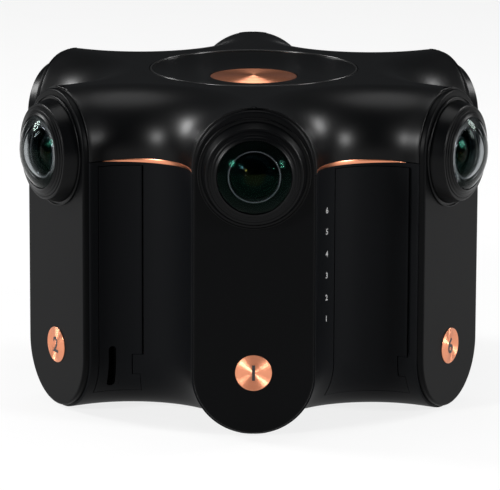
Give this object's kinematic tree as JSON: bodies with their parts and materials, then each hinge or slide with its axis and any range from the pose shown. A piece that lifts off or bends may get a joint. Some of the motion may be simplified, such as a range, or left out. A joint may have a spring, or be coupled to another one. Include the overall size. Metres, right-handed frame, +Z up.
{
  "type": "360 degree camera",
  "caption": "Star-shaped 360 degree camera: arms end in upright pill plates with a fisheye lens and a copper disc, round dish on top, hinged side doors, tripod socket below.",
  "frame": {"origin": "on the ground plane under the body's vertical axis, level with the soles of the feet", "axes": "+Z up along the body's axis, -Y out through lens 1 (the front lens), +X to the right seen from the front"},
  "size_m": [0.1616, 0.1802, 0.1126],
  "materials": {
    "cover_gloss": "smooth black lacquer with a soft gloss",
    "body_satin": "fine satin black",
    "plate_satin": "fine satin black with a polished edge",
    "barrel_black": "turned metal, anodised black",
    "lens_glass": "coated optical glass",
    "ring_metal": "bright turned ring",
    "copper": "spun rose copper",
    "board_green": "solder mask",
    "frame_metal": "die-cast, as cast",
    "socket_metal": "plated steel",
    "inner_plastic": "moulded black",
    "card_plastic": "moulded black",
    "button_black": "satin black",
    "window_clear": "smoked clear plastic",
    "foot_rubber": "soft rubber",
    "screw_steel": "blackened steel"
  },
  "bodies": {
    "housing": {"bottom_cover": "body_satin", "bottom_screws": "screw_steel", "card_bay": "inner_plastic", "card_door_pins": "socket_metal", "copper_trim": "copper", "dish_plate": "cover_gloss", "face_plate_1": "plate_satin", "face_plate_2": "plate_satin", "face_plate_3": "plate_satin", "face_plate_4": "plate_satin", "face_plate_5": "plate_satin", "face_plate_6": "plate_satin", "fan_frame": "inner_plastic", "feet": "foot_rubber", "front_glass_1": "lens_glass", "front_glass_2": "lens_glass", "front_glass_3": "lens_glass", "front_glass_4": "lens_glass", "front_glass_5": "lens_glass", "front_glass_6": "lens_glass", "heat_sink": "frame_metal", "inner_frame": "frame_metal", "inner_lenses": "lens_glass", "lens_barrel_1": "barrel_black", "lens_barrel_2": "barrel_black", "lens_barrel_3": "barrel_black", "lens_barrel_4": "barrel_black", "lens_barrel_5": "barrel_black", "lens_barrel_6": "barrel_black", "lens_ring_1": "ring_metal", "lens_ring_2": "ring_metal", "lens_ring_3": "ring_metal", "lens_ring_4": "ring_metal", "lens_ring_5": "ring_metal", "lens_ring_6": "ring_metal", "lower_housing": "body_satin", "main_board": "board_green", "memory_cards": "card_plastic", "network_socket": "socket_metal", "number_disc_1": "copper", "number_disc_2": "copper", "number_disc_3": "copper", "number_disc_4": "copper", "number_disc_5": "copper", "number_disc_6": "copper", "port_bay": "inner_plastic", "port_door_pins": "socket_metal", "port_sockets": "socket_metal", "power_inlet": "inner_plastic", "sensor_boards": "board_green", "status_window": "window_clear", "top_cover": "cover_gloss", "top_disc": "copper", "tripod_bush": "socket_metal"},
    "card_door": {"card_door": "body_satin"},
    "port_door": {"port_door": "body_satin"},
    "power_button": {"power_button": "button_black"},
    "mode_button": {"mode_button": "button_black"},
    "fan_rotor": {"fan_rotor": "inner_plastic"}
  },
  "joints": [
    {"name": "card_door_hinge", "type": "hinge", "parent": "housing", "child": "card_door", "pos_m": [0.05225, -0.05326, 0.054], "axis": [0, 0, 1], "range_deg": [0, 70]},
    {"name": "port_door_hinge", "type": "hinge", "parent": "housing", "child": "port_door", "pos_m": [-0.03888, -0.05054, 0.054], "axis": [0, 0, 1], "range_deg": [0, 70]},
    {"name": "power_button_press", "type": "slide", "parent": "housing", "child": "power_button", "axis": [-1, 0, 0], "range_m": [0, 0.0008], "stiffness_N_per_m": 700, "springref_m": -0.001},
    {"name": "mode_button_press", "type": "slide", "parent": "housing", "child": "mode_button", "axis": [-1, 0, 0], "range_m": [0, 0.0008], "stiffness_N_per_m": 700, "springref_m": -0.001},
    {"name": "fan_spin", "type": "hinge", "parent": "housing", "child": "fan_rotor", "pos_m": [0, 0, 0.02], "axis": [0, 0, 1], "continuous": true}
  ]
}
